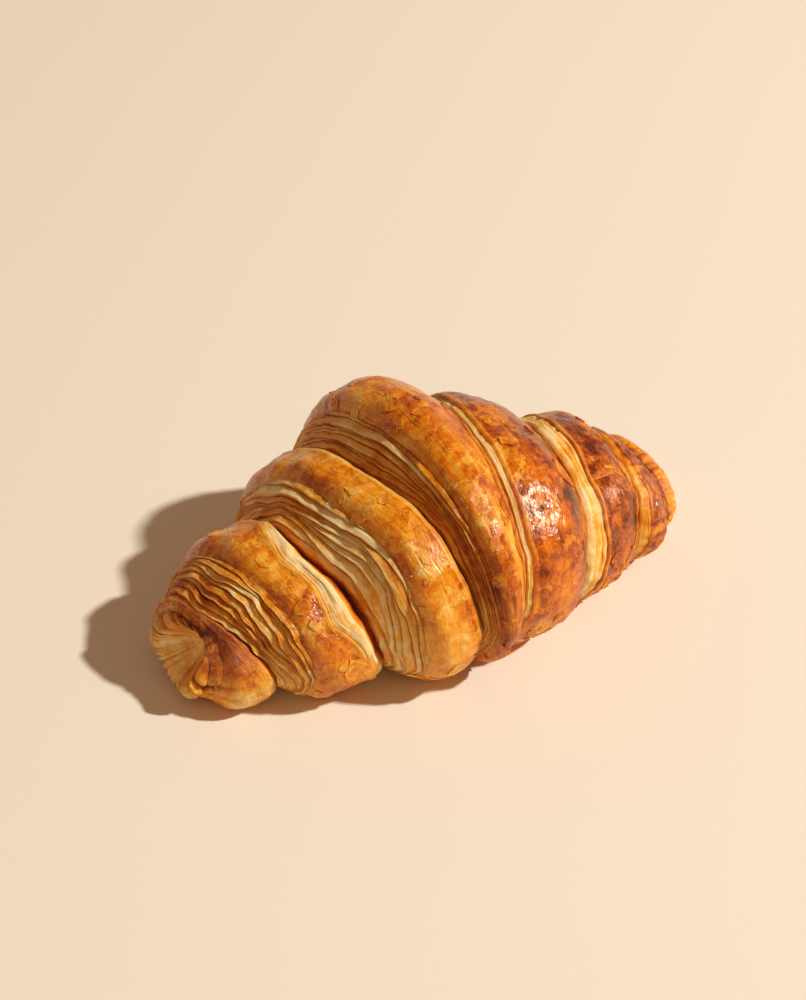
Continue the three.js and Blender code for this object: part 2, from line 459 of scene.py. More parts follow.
def edge_distance(side, turns):
    """How far out from the dough's point an edge has got, in mm, after so many turns."""
    free = smooth(turns / WOBBLE_STARTS) * smooth((TURNS - turns) / WOBBLE_STOPS)
    wander = edge_grain(turns * 9, side["way"]) + 0.5 * edge_grain(turns * 31, side["way"] + 3.3)
    knots = np.array(side["reach"], float)
    return curve(knots[:, 0], knots[:, 1], turns) + WOBBLE * wander * free


for name, side in (("left", LEFT), ("right", RIGHT)):
    reach = DOUGH_POINT + side["way"] * edge_distance(side, float(TURNS))
    print(f"the {name} edge ends {reach:.1f} mm along the loaf")


# %% [markdown]
# ## A line of points across each wrap
# The mesh is a grid whose columns stand round the loaf and whose lines follow the edges. After one full
# turn the last column meets the first one, one wrap further out. So the grid is stitched as a screw, and
# a line always stays on the same layer of dough. That is why thin layers come out crisp with few points:
# each layer has its own four lines, for its root, its back, its shoulder and its rim. Where the grain is
# read at `turns * 20`, it has about twenty waves in each turn round the loaf.

# %% The lines of one wrap
GAP_SHARE = [0, 0.3, 0.75, 1]                       # places across the gap
GAP_DEPTH = [1, 0.97, 0.45, 0]                      # and how deep each one is
STRIP_SHARE = [0.12, 0.37, 0.43, 0.66, 0.72, 0.94]  # places across the pale strip
STRIP_PLY = [0.3, 1.0, -1.2, 0.8, -1.0, 0.4]        # the thin plies that show in it, in shares of PLY_HEIGHT
PLY_HEIGHT = 0.32                                   # mm
PLY_CREASE_SHADE = -0.34                                    # painted shade: the dark line in the crease between two plies
LIP_SHARE = [0.0, 0.2, 0.55, 1.0]                   # places across the lip
LIP_HEIGHT = [-0.15, 0.85, 1.0, 0.35]
LIP_WIDTH = 1.7
GAP_SPREAD = 1.4                       # how wide a gap opens, for each mm of its depth
LAYER_SHARE = [0.0, 0.30, 0.70, 0.93]  # places across one layer of the cut face
LAYER_HEIGHT = [0.0, 0.40, 0.75, 1.0]
# the first tone, at a layer's root, is painted shade in the notch under the rim above it
LAYER_TONE_AND_NOTCH_SHADE = [-0.38, -0.04, 0.01, 0.09]
DOME_LINES = 16
INNER_LINES = len(GAP_SHARE) + len(STRIP_SHARE) + len(LIP_SHARE)
RIM_OVERHANG = 0.45   # mm
LEAST_WIDTH = 0.02    # mm, where a wrap is only starting
FACE_LIMIT = 0.55     # the most of a wrap that its cut face may take
POINT_ROOM = 0.3      # the share for gap, strip and lip near the dough's point
JOIN_POWER = 6        # how late the outermost wrap takes the next one's shape
OUTER_FLAT_TOP = 2.6  # how flat the outermost wrap is
PLAIN = 0.5           # the tone of evenly baked crust


class Wrap:
    """One wrap of one side: its measures at every column of the grid, and the lines laid across it."""

    def __init__(self, side, number, share_round):
        self.side, self.number, self.lines = side, number, []
        self.turns = turns = number + share_round
        self.before = before = turns - 1
        last = number == TURNS
        self.inner = edge_distance(side, before) if number else np.zeros_like(turns)
        outer = edge_distance(side, np.full_like(turns, TURNS) if last else turns)
        if last:
            outer = outer + end_ring(side, DOUGH_POINT_ANGLE + 2 * math.pi * share_round)
        self.width = np.maximum(outer - self.inner, LEAST_WIDTH)
        self.face = np.minimum(fact(side, "face", turns), FACE_LIMIT * self.width)
        self.drop_in = fact(side, "drop", before)
        self.drop_out = fact(side, "drop", turns) * (not last)
        # the outermost wrap turns into the next one on its way round, and the last one closes up
        self.joined = share_round ** JOIN_POWER if number == 0 else np.ones_like(turns)
        self.closing = 1 - share_round if last else np.ones_like(turns)
        self.live = self.joined * self.closing
        self.measure_inner_zone()

    def measure_inner_zone(self):
        """The widths of gap, strip and lip, made narrower where the wrap has little room."""
        side, turns, before = self.side, self.turns, self.before
        self.gap, self.lip = fact(side, "gap", before), fact(side, "lip", before)
        self.strip = fact(side, "strip", before) * (1 + 0.35 * edge_grain(turns * 15, side["way"], 2.2))
        zone = GAP_SPREAD * self.gap + self.strip + LIP_WIDTH
        fit = np.minimum(1, side["room"] * self.width / zone)
        fit = fit * self.joined + (1 - self.joined) * POINT_ROOM * self.width / zone
        self.gap_wide = GAP_SPREAD * self.gap * fit
        self.strip_wide = self.strip * fit
        self.lip_wide = LIP_WIDTH * fit

    def level(self, distance):
        """The height of the plain wrap at a distance from its inner edge."""
        q = np.clip(distance / (self.width - self.face), 0, 1)
        swell = DOME * (1 - np.abs(2 * q - 1) ** self.side["flat_top"]) * self.closing
        domed = -0.5 * self.drop_in + 0.5 * (self.drop_in + self.drop_out) * q + swell
        # both sides of the outermost wrap start from one height, at the loaf's middle
        crest = 0.25 * (fact(LEFT, "drop", self.turns) + fact(RIGHT, "drop", self.turns))
        crest = crest + (0.5 * self.drop_out - crest) * smooth(q)
        outermost = (crest + DOME * (1 - q ** OUTER_FLAT_TOP)) * smooth(self.turns / POINT_TAPER)
        return domed * self.joined + outermost * (1 - self.joined)

    def line(self, distance, offset, tone, gloss, cut):
        """Lay one line: where it runs, how baked and glossy it is, and how much of a cut face."""
        self.lines.append(np.stack(np.broadcast_arrays(distance, offset, tone, gloss, cut)))


print(f"lines in the inner zone: {INNER_LINES}, on the dome: {DOME_LINES}")


# %% [markdown]
# ## What lies across a wrap
# From its inner edge out, a wrap is a gap darkened with painted shade, a strip of pale plies, a lip, the
# egg-washed dome and the cut face where the layers end. Each is one short function that lays its own lines.

# %% Gap, strip, lip, dome and cut face
def lay_gap(wrap):
    """The gap that opens under the edge of the wrap outside this one, darkened with painted shade."""
    pale = fact(wrap.side, "pale", wrap.before)
    for share, depth in zip(GAP_SHARE, GAP_DEPTH):
        at = share * wrap.gap_wide
        # painted shade: the tone falls towards dark brown at the bottom of the gap
        tint = pale * (1 - depth) + 0.12 * depth - PLAIN
        wrap.line(at, wrap.level(at) - depth * wrap.gap * wrap.live, PLAIN + tint * wrap.live, 0.1, 0.5)


def lay_strip(wrap):
    """The strip of pale inner dough beyond the gap, in thin plies."""
    side, turns, live = wrap.side, wrap.turns, wrap.live
    pale = fact(side, "pale", wrap.before)
    for number, (share, ply) in enumerate(zip(STRIP_SHARE, STRIP_PLY)):
        wander = 0.12 * edge_grain(turns * 8, number // 2 * 4.9, side["way"] + 4)
        at = wrap.gap_wide + (share + wander) * wrap.strip_wide
        plies = np.clip(0.8 + edge_grain(turns * 11, number * 2.3, side["way"]), 0, 1)
        plies = fact(side, "plies", wrap.before) * plies
        rough = 0.22 * edge_grain(turns * 26, number * 1.7, side["way"]) + PLY_HEIGHT * ply * plies
        rough = rough * np.minimum(1, wrap.strip / 2)
        # the lower plies take painted shade in their creases, and the higher ones are a touch paler
        tint = pale + (0.05 * ply if ply > 0 else PLY_CREASE_SHADE) * plies - PLAIN
        wrap.line(at, wrap.level(at) + rough * live, PLAIN + tint * live, 1 - 0.9 * live, 0.6 * live)


def lay_lip(wrap):
    """The lip where this wrap's own skin begins."""
    live = wrap.live
    for share, tall in zip(LIP_SHARE, LIP_HEIGHT):
        at = wrap.gap_wide + wrap.strip_wide + share * wrap.lip_wide
        high_now = wrap.lip * (1 + 0.6 * edge_grain(wrap.turns * 17, 7.7, wrap.side["way"])) * live
        # paler the higher the lip stands; the darker tone at its foot is painted shade in the crease
        tint = 0.28 * tall * np.minimum(wrap.lip, 1) - 0.12 * (share == 0) - 0.05
        gloss = 1 - 0.6 * live * (share < 1)
        wrap.line(at, wrap.level(at) + tall * high_now, PLAIN + tint * live, gloss, 0.3 * live)


def lay_dome(wrap):
    """The egg-washed dome, up to where the wrap is cut. Its outer part is baked darker."""
    side, turns = wrap.side, wrap.turns
    start = wrap.gap_wide + wrap.strip_wide + wrap.lip_wide
    matt = fact(side, "matt", turns + 0.02 * edge_grain(turns * 40, side["way"], 5.1))
    deep = fact(side, "deep", turns) * wrap.live
    for number in range(DOME_LINES):
        at = start + (wrap.width - wrap.face - start) * (number + 1) / (DOME_LINES + 1)
        q = (number + 1) / (DOME_LINES + 1)
        dull = matt * smooth(q / 0.3 if side["way"] > 0 or wrap.number else 0.0)
        tone = PLAIN + 0.15 * dull - 0.10 * smooth((q - 0.55) / 0.45) * wrap.live - deep
        wrap.line(at, wrap.level(at), tone, 1.0 - 0.65 * dull, 0.15 * dull)


def layer_bounds(side, turns):
    """Where each layer of the cut face starts and ends, 0 to 1. Layers thin out and swell on their way."""
    layers = np.arange(side["layers"])[:, None]
    slow = edge_grain(turns * 6, layers * 3.7, side["way"])
    quick = edge_grain(turns * 14, layers * 5.1, side["way"])
    wide = np.clip(1 + 2.4 * slow + 0.25 * quick, 0.12, 2.4)
    ends = np.cumsum(wide, axis=0) / wide.sum(axis=0)
    return np.vstack([np.zeros((1, len(turns))), ends]), wide


def lay_cut_face(wrap):
    """The cut ends of the layers and the foot of the step below, with painted shade in notches and foot."""
    side, turns, drop, way = wrap.side, wrap.turns, wrap.drop_out, wrap.side["way"]
    start = wrap.width - wrap.face
    ends, wide = layer_bounds(side, turns)
    ridge = fact(side, "ridge", turns) * (wrap.number < TURNS)
    lit = np.minimum(1, ridge / 0.3)
    for layer in range(side["layers"]):
        torn = edge_grain(turns * 20, layer * 2.3, way + 9)
        high_now = ridge * np.minimum(wide[layer], 1.5) * np.clip(1 + 0.8 * torn, 0.1, 1.6)
        over = RIM_OVERHANG * (1 + edge_grain(turns * 30, layer * 4.4, way))
        own = fact(side, "bake", turns) + 0.28 * edge_grain(turns * 3, layer * 6.1, way)
        skin = PLAIN - 0.08 * wrap.live * (layer == 0)
        shine = 0.8 if layer == 0 else 0.35
        for share, tall, tint in zip(LAYER_SHARE, LAYER_HEIGHT, LAYER_TONE_AND_NOTCH_SHADE):
            p = ends[layer] + (ends[layer + 1] - ends[layer]) * share
            at = start + p * wrap.face + over * (tall == 1) * high_now
            notch = 0.35 * high_now * (share == 0) * (layer > 0)
            offset = wrap.level(start) - drop * p ** 1.25 + tall * high_now - notch
            tint = tint * fact(side, "lines", turns) * (0.4 if share == 0 and layer == 0 else 1)
            wrap.line(at, offset, skin + (own + tint + 0.08) * lit, 1 + (shine - 1) * lit, lit)
    # painted shade: the foot of the step, deep under the cut face, takes a dark tone
    foot = fact(side, "gap", turns) * (wrap.number < TURNS)
    wrap.line(wrap.width, wrap.level(start) - drop - foot, 0.15, 0.1, 0.5)


def lay_wrap(side, number, share_round):
    """A wrap with all its lines, from its inner edge out."""
    wrap = Wrap(side, number, share_round)
    for lay in (lay_gap, lay_strip, lay_lip, lay_dome, lay_cut_face):
        lay(wrap)
    wrap.across, wrap.offset, wrap.tone, wrap.gloss, wrap.cut = np.stack(wrap.lines, 1)
    return wrap


# %% [markdown]
# ## The ends
# Where the roll ends, its last wrap is pinched shut. On the left, the last cut edge stands over the end
# like a hood, and the knob under it is gathered in pleats round a small hollow. On the right, the end is
# a short fan with a crinkled edge. Both are rings that close on one point, so the crust has no hole.

# %% Pleats and caps
CAP_RINGS = 22
# the darker valleys between the pleats of both ends are painted shade
LEFT_CAP = dict(
    length=3.0, full_at=0.62, under_hood=0.3,  # mm, share of the way to the pole, mm
    pole_out=-3.6, pole=(0.5, 19.5),           # mm beyond the end ring; mm across and up
    pleats=24, pleat=1.2, valley=0.5,          # how many, how high in mm, how much darker between
)
RIGHT_CAP = dict(
    length=7.6, full_at=0.96, under_hood=7.6,
    pole_out=7.6, pole=(-9.5, 11.0),
    pleats=38, pleat=0.42, valley=0.24,
)
HOOD_SINK = 3.0       # mm that the knob lies below the hood
KNOB_ROOM = 12.0      # mm of radius from which an end bulges in full
ROUND_OFF = 2.6       # mm that the knob draws in before it turns over its end
CAP_ROUNDNESS = 0.75  # 1 is a half round, and less is blunter
TURNS_IN_FROM = 0.55  # share of the way to the pole where a cap turns in on its hollow
FOLD_MIDDLE = 0.6     # the pleats go in and out from here


def pleats(cap, angle):
    """Ridges with narrow valleys between them, 0 in a valley and 1 on a ridge."""
    bent = cap["pleats"] / 2 * angle + 3 * np.sin(angle + 2.6)
    bent = bent + 1.3 * np.sin(3 * angle + 2) + 0.7 * np.sin(7 * angle)
    uneven = 0.65 + 0.35 * np.sin(5 * angle + 1)
    return 1 - uneven * (1 - np.abs(np.sin(bent)) ** 0.8)


def shade(cap, angle):
    """How much darker the valleys between the pleats are painted: painted shade in their creases."""
    return cap["valley"] * (1 - pleats(cap, angle)) ** 1.3


def cap_rings(side, cap, ring, angle):
    """Rings from the end ring to the pole, as points, with their tone and gloss."""
    way = side["way"]
    hood = under_hood(angle) if way < 0 else np.zeros_like(angle)
    length = cap["length"] + (cap["under_hood"] - cap["length"]) * hood
    fold = pleats(cap, angle)
    pole = np.array(cap["pole"])
    pole_x = ring[:, 0].mean() + way * cap["pole_out"]
    rows = []
    for number in range(1, CAP_RINGS + 1):
        r = number / CAP_RINGS
        shrink = math.cos(math.pi / 2 * r) ** CAP_ROUNDNESS if number < CAP_RINGS else 0.0
        turned = smooth((r - TURNS_IN_FROM) / (1 - TURNS_IN_FROM))
        points = ring.copy()
        flat = ring[:, 1:] - pole
        size = np.linalg.norm(flat, axis=1, keepdims=True)
        room = np.minimum(1, size[:, 0] / KNOB_ROOM)
        out = length * room * math.sin(math.pi / 2 * min(r / cap["full_at"], 1))
        deep = cap["pleat"] * (fold - FOLD_MIDDLE) * (1 - r ** 3) * room
        points[:, 1:] = pole + flat * shrink * (1 + deep[:, None] / np.maximum(size, 1))
        points[:, 0] = (ring[:, 0] + way * (out + 1.4 * deep)) * (1 - turned) + pole_x * turned
        points[:, 2] = np.maximum(points[:, 2], 0)
        # painted shade: darker in the pleat valleys and under the hood; paler towards the pole
        tone = 0.62 - shade(cap, angle) * (1 - 0.25 * r) - 0.34 * hood * (1 - r) + 0.12 * turned
        rows.append((points, tone, 0.75 - 0.4 * turned))
    return rows


# %% [markdown]
# ## Stitching the crust
# The columns stand close together over the top, the front and the back, and further apart underneath.
# At the dough's point the outermost wrap has no width, so there its lines share one vertex.

# %% Build the grid
UNDER_COLUMNS_A = 9
SEEN_COLUMNS = 170
UNDER_COLUMNS_B = 21
SEEN_FROM = 0.078  # shares of a turn
SEEN_TO = 0.80
U_PER_TURN = 6.0   # pattern units per turn, so that a unit is about 30 mm round the loaf
V_PER_LINE = 0.05  # pattern units from one line of the grid to the next
V_PER_WRAP = 10    # pattern units between the patterns of two wraps
V_OF_CAP = 60      # where the pattern of an end starts
V_PER_RING = 0.08
SWELL_SIZE = 22  # mm

share_round = np.concatenate([
    np.linspace(0, SEEN_FROM, UNDER_COLUMNS_A, endpoint=False),
    np.linspace(SEEN_FROM, SEEN_TO, SEEN_COLUMNS, endpoint=False),
    np.linspace(SEEN_TO, 1, UNDER_COLUMNS_B + 1),
])
columns = len(share_round) - 1
angles = DOUGH_POINT_ANGLE + 2 * math.pi * share_round


def lumps(points):
    """How far the oven pushed the crust in or out, in mm: slow swells, dents and small blisters."""
    x, y, z = (points / SWELL_SIZE).T
    swell = grain(x, y, z) * 1.2
    dent = grain(x * 2.6 + 5, y * 2.6, z * 2.6) * 0.5
    crease = np.abs(grain(x * 3.6 + 9, y * 5, z * 5)) * 0.5
    blister = grain(x * 8 + 2, y * 8, z * 8) * 0.1
    return swell + dent - crease + blister


vertices = []
tones, glosses, cuts = [], [], []
count = 0


def add_points(points, tone, gloss, cut):
    """Add a row of vertices and return their numbers."""
    global count
    vertices.append(points)
    for store, value in ((tones, tone), (glosses, gloss), (cuts, cut)):
        store.append(np.broadcast_to(value, len(points)).astype(float))
    count += len(points)
    return np.arange(count - len(points), count)


faces, corner_uv = [], []


def add_strip(a, b, uv_a, uv_b, flip):
    """Faces between two neighbouring lines of vertex numbers, each one column longer than its faces."""
    for c in range(len(a) - 1):
        ring = [(a[c], uv_a[c]), (b[c], uv_b[c]), (b[c + 1], uv_b[c + 1]), (a[c + 1], uv_a[c + 1])]
        kept = [spot for i, spot in enumerate(ring) if spot[0] != ring[i - 1][0]]
        if len(kept) < 3:
            continue
        if flip:
            kept.reverse()
        faces.append([spot[0] for spot in kept])
        corner_uv.extend(spot[1] for spot in kept)


def dough_uv(turns, line):
    """Where a line of the grid lies on the flat dough, in pattern units."""
    return np.stack([turns * U_PER_TURN, np.full(len(turns), float(line))], 1)


def gather(side, cap, wrap, k):
    """How the last wrap is drawn into pleats, sinks under its hood and rounds off towards the end ring."""
    left = side["way"] < 0
    at_end = k == len(wrap.across) - 1
    share = wrap.across[k] / np.maximum(wrap.across[-1], 1)
    out = 1.0 if at_end else smooth(wrap.across[k] / 2.5)
    sink = HOOD_SINK * under_hood(angles) * left
    gathered = share ** 1.5 if left else 1.0
    fold = cap["pleat"] * (pleats(cap, angles) - FOLD_MIDDLE) * gathered
    near_end = 1.0 if at_end else np.clip(share, 0, 1) ** 4
    round_off = ROUND_OFF * near_end * (1 - under_hood(angles)) * left
    offset = (0 if at_end else wrap.offset[k]) + (fold - sink) * out - round_off
    # painted shade: darker in the pleat valleys and where the knob sinks under the hood
    return offset, wrap.tone[k] - (shade(cap, angles) * gathered + 0.07 * sink) * out


def place(x, offset):
    """Points of the crust at every column, with the oven's lumps, on or above the table."""
    points = crust_point(x, angles, offset + lumps(crust_point(x, angles, 0.0)))[:-1]
    points[:, 2] = np.maximum(points[:, 2], 0)
    return points


def place_lines(side, cap, wraps, middle):
    """Add the vertices of a side line by line, and return their numbers."""
    ids = [middle]
    for wrap in wraps:
        ends_here = wrap.number == TURNS
        for k in range(wrap.number == 0, len(wrap.across) - (not ends_here)):
            x = DOUGH_POINT + side["way"] * (wrap.inner + wrap.across[k])
            offset, tone = gather(side, cap, wrap, k) if ends_here else (wrap.offset[k], wrap.tone[k])
            row = add_points(place(x, offset), tone[:-1], wrap.gloss[k][:-1], wrap.cut[k][:-1])
            if wrap.number == 0:
                row[0] = middle[0]
            ids.append(row)
    return ids


def close_end(side, cap, edge):
    """Rings from the end ring inwards, and a fan onto the pole."""
    rows = cap_rings(side, cap, np.concatenate(vertices)[edge[:-1]], angles[:-1])
    previous, height = edge, 0.0
    for number, (points, tone, gloss) in enumerate(rows):
        if number == len(rows) - 1:
            row = add_points(points.mean(0, keepdims=True), tone.mean(), gloss, 0.0)
            row = np.full(columns + 1, row[0])
        else:
            row = add_points(points, tone, gloss, 0.15)
            row = np.append(row, row[0])
        uv = [dough_uv(share_round, V_OF_CAP + h) for h in (height, height + V_PER_RING)]
        add_strip(previous, row, uv[0], uv[1], side["way"] < 0)
        previous, height = row, height + V_PER_RING


rims = []


def build_side(side, cap, middle):
    """One side of the crust, from the middle line of the outermost wrap to its pole."""
    wraps = [lay_wrap(side, number, share_round) for number in range(TURNS + 1)]
    ids = place_lines(side, cap, wraps, middle)
    per_wrap = len(wraps[0].across) - 1
    last = len(ids) - 1
    # close the seam: after a full turn every line goes on as the same line, one wrap further out
    closed = [np.append(ids[k], ids[min(k + per_wrap, last)][0]) for k in range(last + 1)]
    for wrap in wraps:
        for k in range(per_wrap):
            uv = [dough_uv(wrap.turns, j * V_PER_LINE + V_PER_WRAP * wrap.number) for j in (k, k + 1)]
            row = wrap.number * per_wrap + k
            add_strip(closed[row], closed[row + 1], uv[0], uv[1], side["way"] < 0)
    first_rim = INNER_LINES + DOME_LINES + len(LAYER_SHARE) - 1
    rim_lines = [first_rim + layer * len(LAYER_SHARE) for layer in range(side["layers"])]
    rims.extend(closed[wrap * per_wrap + k] for wrap in range(TURNS) for k in rim_lines)
    close_end(side, cap, closed[last])
    return per_wrap


middle_wrap = lay_wrap(LEFT, 0, share_round)
middle_points = place(np.full(columns + 1, DOUGH_POINT), middle_wrap.offset[0])
middle = add_points(middle_points, middle_wrap.tone[0][:-1], 1.0, 0.0)
for side, cap in ((LEFT, LEFT_CAP), (RIGHT, RIGHT_CAP)):
    print(f"{build_side(side, cap, middle)} lines per wrap, {len(faces)} faces so far")


# %% [markdown]
# ## One mesh, with what it knows
# The rims of the layers are marked sharp, so that they catch the light as crisp edges. How dark, glossy,
# cut and flaky each place is goes onto the vertices, for the material and the loose skin to read.

# %% The crust's mesh
crust_mesh = bpy.data.meshes.new("croissant_crust")
crust_mesh.from_pydata(np.concatenate(vertices) * MM, [], faces)
crust_mesh.shade_smooth()

crisp = np.sort(np.concatenate([np.stack([rim[:-1], rim[1:]], 1) for rim in rims]), axis=1)
ends = np.zeros(len(crust_mesh.edges) * 2, int)
crust_mesh.edges.foreach_get("vertices", ends)
ends = np.sort(ends.reshape(-1, 2), axis=1)
is_rim = np.isin(ends[:, 0] * count + ends[:, 1], crisp[:, 0] * count + crisp[:, 1])
sharp = crust_mesh.attributes.new("sharp_edge", "BOOLEAN", "EDGE")
sharp.data.foreach_set("value", is_rim)
print(f"{is_rim.sum()} crisp edges")


def keep(mesh, name, values):
    """Store one number for each vertex, for a material or for Geometry Nodes to read."""
    column = mesh.attributes.new(name, "FLOAT", "POINT")
    column.data.foreach_set("value", np.asarray(values, np.float32))


for name, store in (("tone", tones), ("gloss", glosses), ("cut", cuts)):
    keep(crust_mesh, name, np.concatenate(store))

FLAKY_REACH = 0.74 * HALF_LENGTH  # the pinched ends have no loose skin
FLAKY_PATCH = 13                  # mm
TABLE_CLEARANCE = 2.5             # mm above the table that stay free of loose skin
spots = np.concatenate(vertices)
patches = np.clip(0.25 + 1.8 * grain(*(spots / FLAKY_PATCH + 40).T), 0, 1)
low_front = np.clip(2.0 - spots[:, 2] / 12, 0, 1.6)
washed = (np.concatenate(cuts) < 0.2) * (np.concatenate(glosses) > 0.3)
inland = (spots[:, 2] > TABLE_CLEARANCE) * (np.abs(spots[:, 0]) < FLAKY_REACH)
keep(crust_mesh, "flaky", (patches + low_front) * washed * inland)
crust_uv = crust_mesh.uv_layers.new(name="dough")
crust_uv.data.foreach_set("uv", np.array(corner_uv, np.float32).ravel())
crust = bpy.data.objects.new("croissant_crust", crust_mesh)
bpy.context.collection.objects.link(crust)
print(f"crust: {len(crust_mesh.vertices)} vertices, {sum(len(f) - 2 for f in faces)} triangles")


# %% [markdown]
# ## The baked crust
# Egg wash bakes to a clear brown gloss on the domes of the wraps, and the cut faces and strips that it
# never touched stay paler and matt. The mesh already knows which is which: `tone` says how dark a place
# is baked, with painted shade in its gaps, notches, pleat valleys and under the hood, `gloss` how much wash
# it has and `cut` where the layers show. The material adds what is finer than the mesh, and painted shade
# and light on each side of the loaf.

# %% Crust material
bake = Recipe("baked_crust")
spot_on_crust = bake.node("ShaderNodeTexCoord", {}, out="Object")
dough = bake.node("ShaderNodeUVMap", dict(uv_map="dough"))
tone, gloss, cut = (bake.node("ShaderNodeAttribute", dict(attribute_name=name), out="Fac")
                    for name in ("tone", "gloss", "cut"))


def texture(spot, scale, detail, roughness, distortion):
    return bake.node("ShaderNodeTexNoise", {}, Vector=spot, Scale=scale, Detail=detail,
                     Roughness=roughness, Distortion=distortion)


def noise(size, detail=4.0, roughness=0.55, distortion=0.0):
    """Noise with features of about `size` mm, less 0.5, so that it is centred on zero."""
    return texture(spot_on_crust, 1 / (size * MM), detail, roughness, distortion) - 0.5


UNIT_ALONG = 30   # mm round the roll in one pattern unit
UNIT_ACROSS = 14  # mm across it


def along_dough(across, along, detail=5.0, roughness=0.6, distortion=0.0):
    """Noise that is drawn out round the roll, with features of so many mm across and along it."""
    squeeze = (UNIT_ALONG / along, UNIT_ACROSS / across, 1)
    spot = bake.node("ShaderNodeMapping", {}, Vector=dough, Scale=squeeze)
    return texture(spot, 1.0, detail, roughness, distortion) - 0.5


fibres = along_dough(1.0, 9, roughness=0.7, distortion=0.3)
streaks = along_dough(3.2, 8, roughness=0.65, distortion=0.8)
crinkle = along_dough(1.0, 3.2, detail=4, roughness=0.6, distortion=1.0)
clouds = noise(16, detail=3)
mottle = noise(4.5, detail=6, roughness=0.7, distortion=0.6)
speckle = noise(0.9, detail=3, roughness=0.7)
dents = noise(5.0, detail=1)
upward = bake.node("ShaderNodeSeparateXYZ", {}, spot_on_crust, out="Z")
crown = upward.between(44 * MM, 60 * MM)
low_down = 1 - upward.between(4 * MM, 26 * MM)


TORN_EDGE = 0.012  # how soft the border of a torn patch is


def torn(size, amount, seed):
    """1 where a ply of skin has flaked away: its border is ragged, as an island's coast is."""
    spot = bake.node("ShaderNodeMapping", {}, Vector=spot_on_crust, Location=(seed, seed, 0),
                     Scale=(0.8, 1, 1))
    return texture(spot, 1 / (size * MM), 6.0, 0.6, 0.9).between(amount, amount + TORN_EDGE)


big_tear = torn(11, 0.57, 0.3)
small_tear = torn(5, 0.58, 0.9)
wrinkle = noise(2.0, detail=5, roughness=0.65, distortion=1.2)
# 0 at the left end and 1 at the right end, which the lamp lights; it drives painted shade on that side
lit_side_for_painted_shade = bake.node("ShaderNodeSeparateXYZ", {}, spot_on_crust, out="X").between(-30 * MM, 12 * MM)
dull = 1 - gloss


# %% [markdown]
# ## Colour, gloss and bumps
# Three sums say the rest. `depth` goes from dark to pale and picks a colour from a ramp of baked doughs;
# it holds painted shade on the lamp-lit right side and painted light on the shaded left.
# `rough` is low where the wash is. `height` crinkles the wash round the roll, which breaks each highlight
# into short strokes, and pulls the cut layers into fibres.

# %% Colour, gloss and bumps
BAKES = (
    (0.00, srgb(56, 16, 0)),  # darkest brown, which the painted shade deep in a gap reaches
    (0.18, srgb(118, 40, 0)),
    (0.34, srgb(178, 76, 2)),  # egg wash where it browned most
    (0.48, srgb(216, 112, 2)),
    (0.62, srgb(236, 150, 18)),  # golden skin
    (0.80, srgb(246, 184, 76)),
    (1.00, srgb(252, 224, 160)),  # inner dough that the heat hardly coloured
)
BUMP_DEPTH = 0.7 * MM
WARM_GLOSS = (1, 0.85, 0.60, 1)  # the egg wash tints what it mirrors

# painted shade and light: the lamp-lit right side is darkened, its glaze most, and the shaded left side
# lightened
depth = tone + 0.10 - 0.06 * lit_side_for_painted_shade - 0.22 * lit_side_for_painted_shade * gloss
depth = depth + clouds * 0.8 + mottle * (0.4 + 0.5 * gloss) + streaks * 0.6 * gloss
depth = depth + fibres * (0.3 + 1.1 * cut) + speckle * 0.2 + crown * 0.10 + low_down * (0.05 + 0.07 * gloss)
depth = depth + (big_tear * 0.12 + small_tear * 0.12) * gloss + wrinkle * 0.3
colour = bake.ramp(depth, *BAKES)
rough = 0.62 - 0.45 * gloss + (big_tear + small_tear) * 0.2 * gloss
rough = rough + mottle * 0.25 + streaks * 0.4 + low_down * 0.25 * gloss
height = crinkle * (0.10 + 0.40 * gloss) + dents * 0.3 + (wrinkle * 0.2 + mottle * 0.3) * dull
height = height + wrinkle * 0.10 + fibres * (0.08 + 1.0 * cut) + speckle * 0.08 * dull
height = height - (big_tear * 0.30 + small_tear * 0.24) * gloss
bumps = bake.node("ShaderNodeBump", {}, Height=height, Strength=1.0, Distance=BUMP_DEPTH)
crust_mesh.materials.append(bake.finish(
    Base_Color=colour, Roughness=rough, Normal=bumps, IOR=1.45,
    Specular_IOR_Level=0.9, Specular_Tint=WARM_GLOSS,
    Subsurface_Weight=0.05, Subsurface_Radius=(1.0, 0.35, 0.12), Subsurface_Scale=2 * MM,
))
print(f"crust material: {len(bake.tree.nodes)} nodes")


# %% [markdown]
# ## Loose skin
# The outermost skin of a baked croissant blisters, cracks and lifts off in thin ragged scales. Each scale
# is a small closed plate, and Geometry Nodes scatter copies of a few of them where the crust is flaky.
# Then every vertex is moved to the nearest place on the crust and lifted off it by its own small amount,
# so that a scale hugs the crust wherever it lands. That is quicker and surer than any simulation.

# %% A few ragged scales
SCALE_SHAPES = 5
SCALE_SIDES = 11
SCALE_RINGS = ((0.0, 0.16), (0.62, 0.22), (1.0, 0.24))  # share of the radius, and lift in mm
SCALE_ROOT = -0.25                                      # mm below the crust where a scale ends
SCALE_CURL = 0.45                                       # mm that one side of a scale lifts further
SCALE_GLOSS = 0.78
SCALE_CUT = 0.1
SCALE_SEED = 100


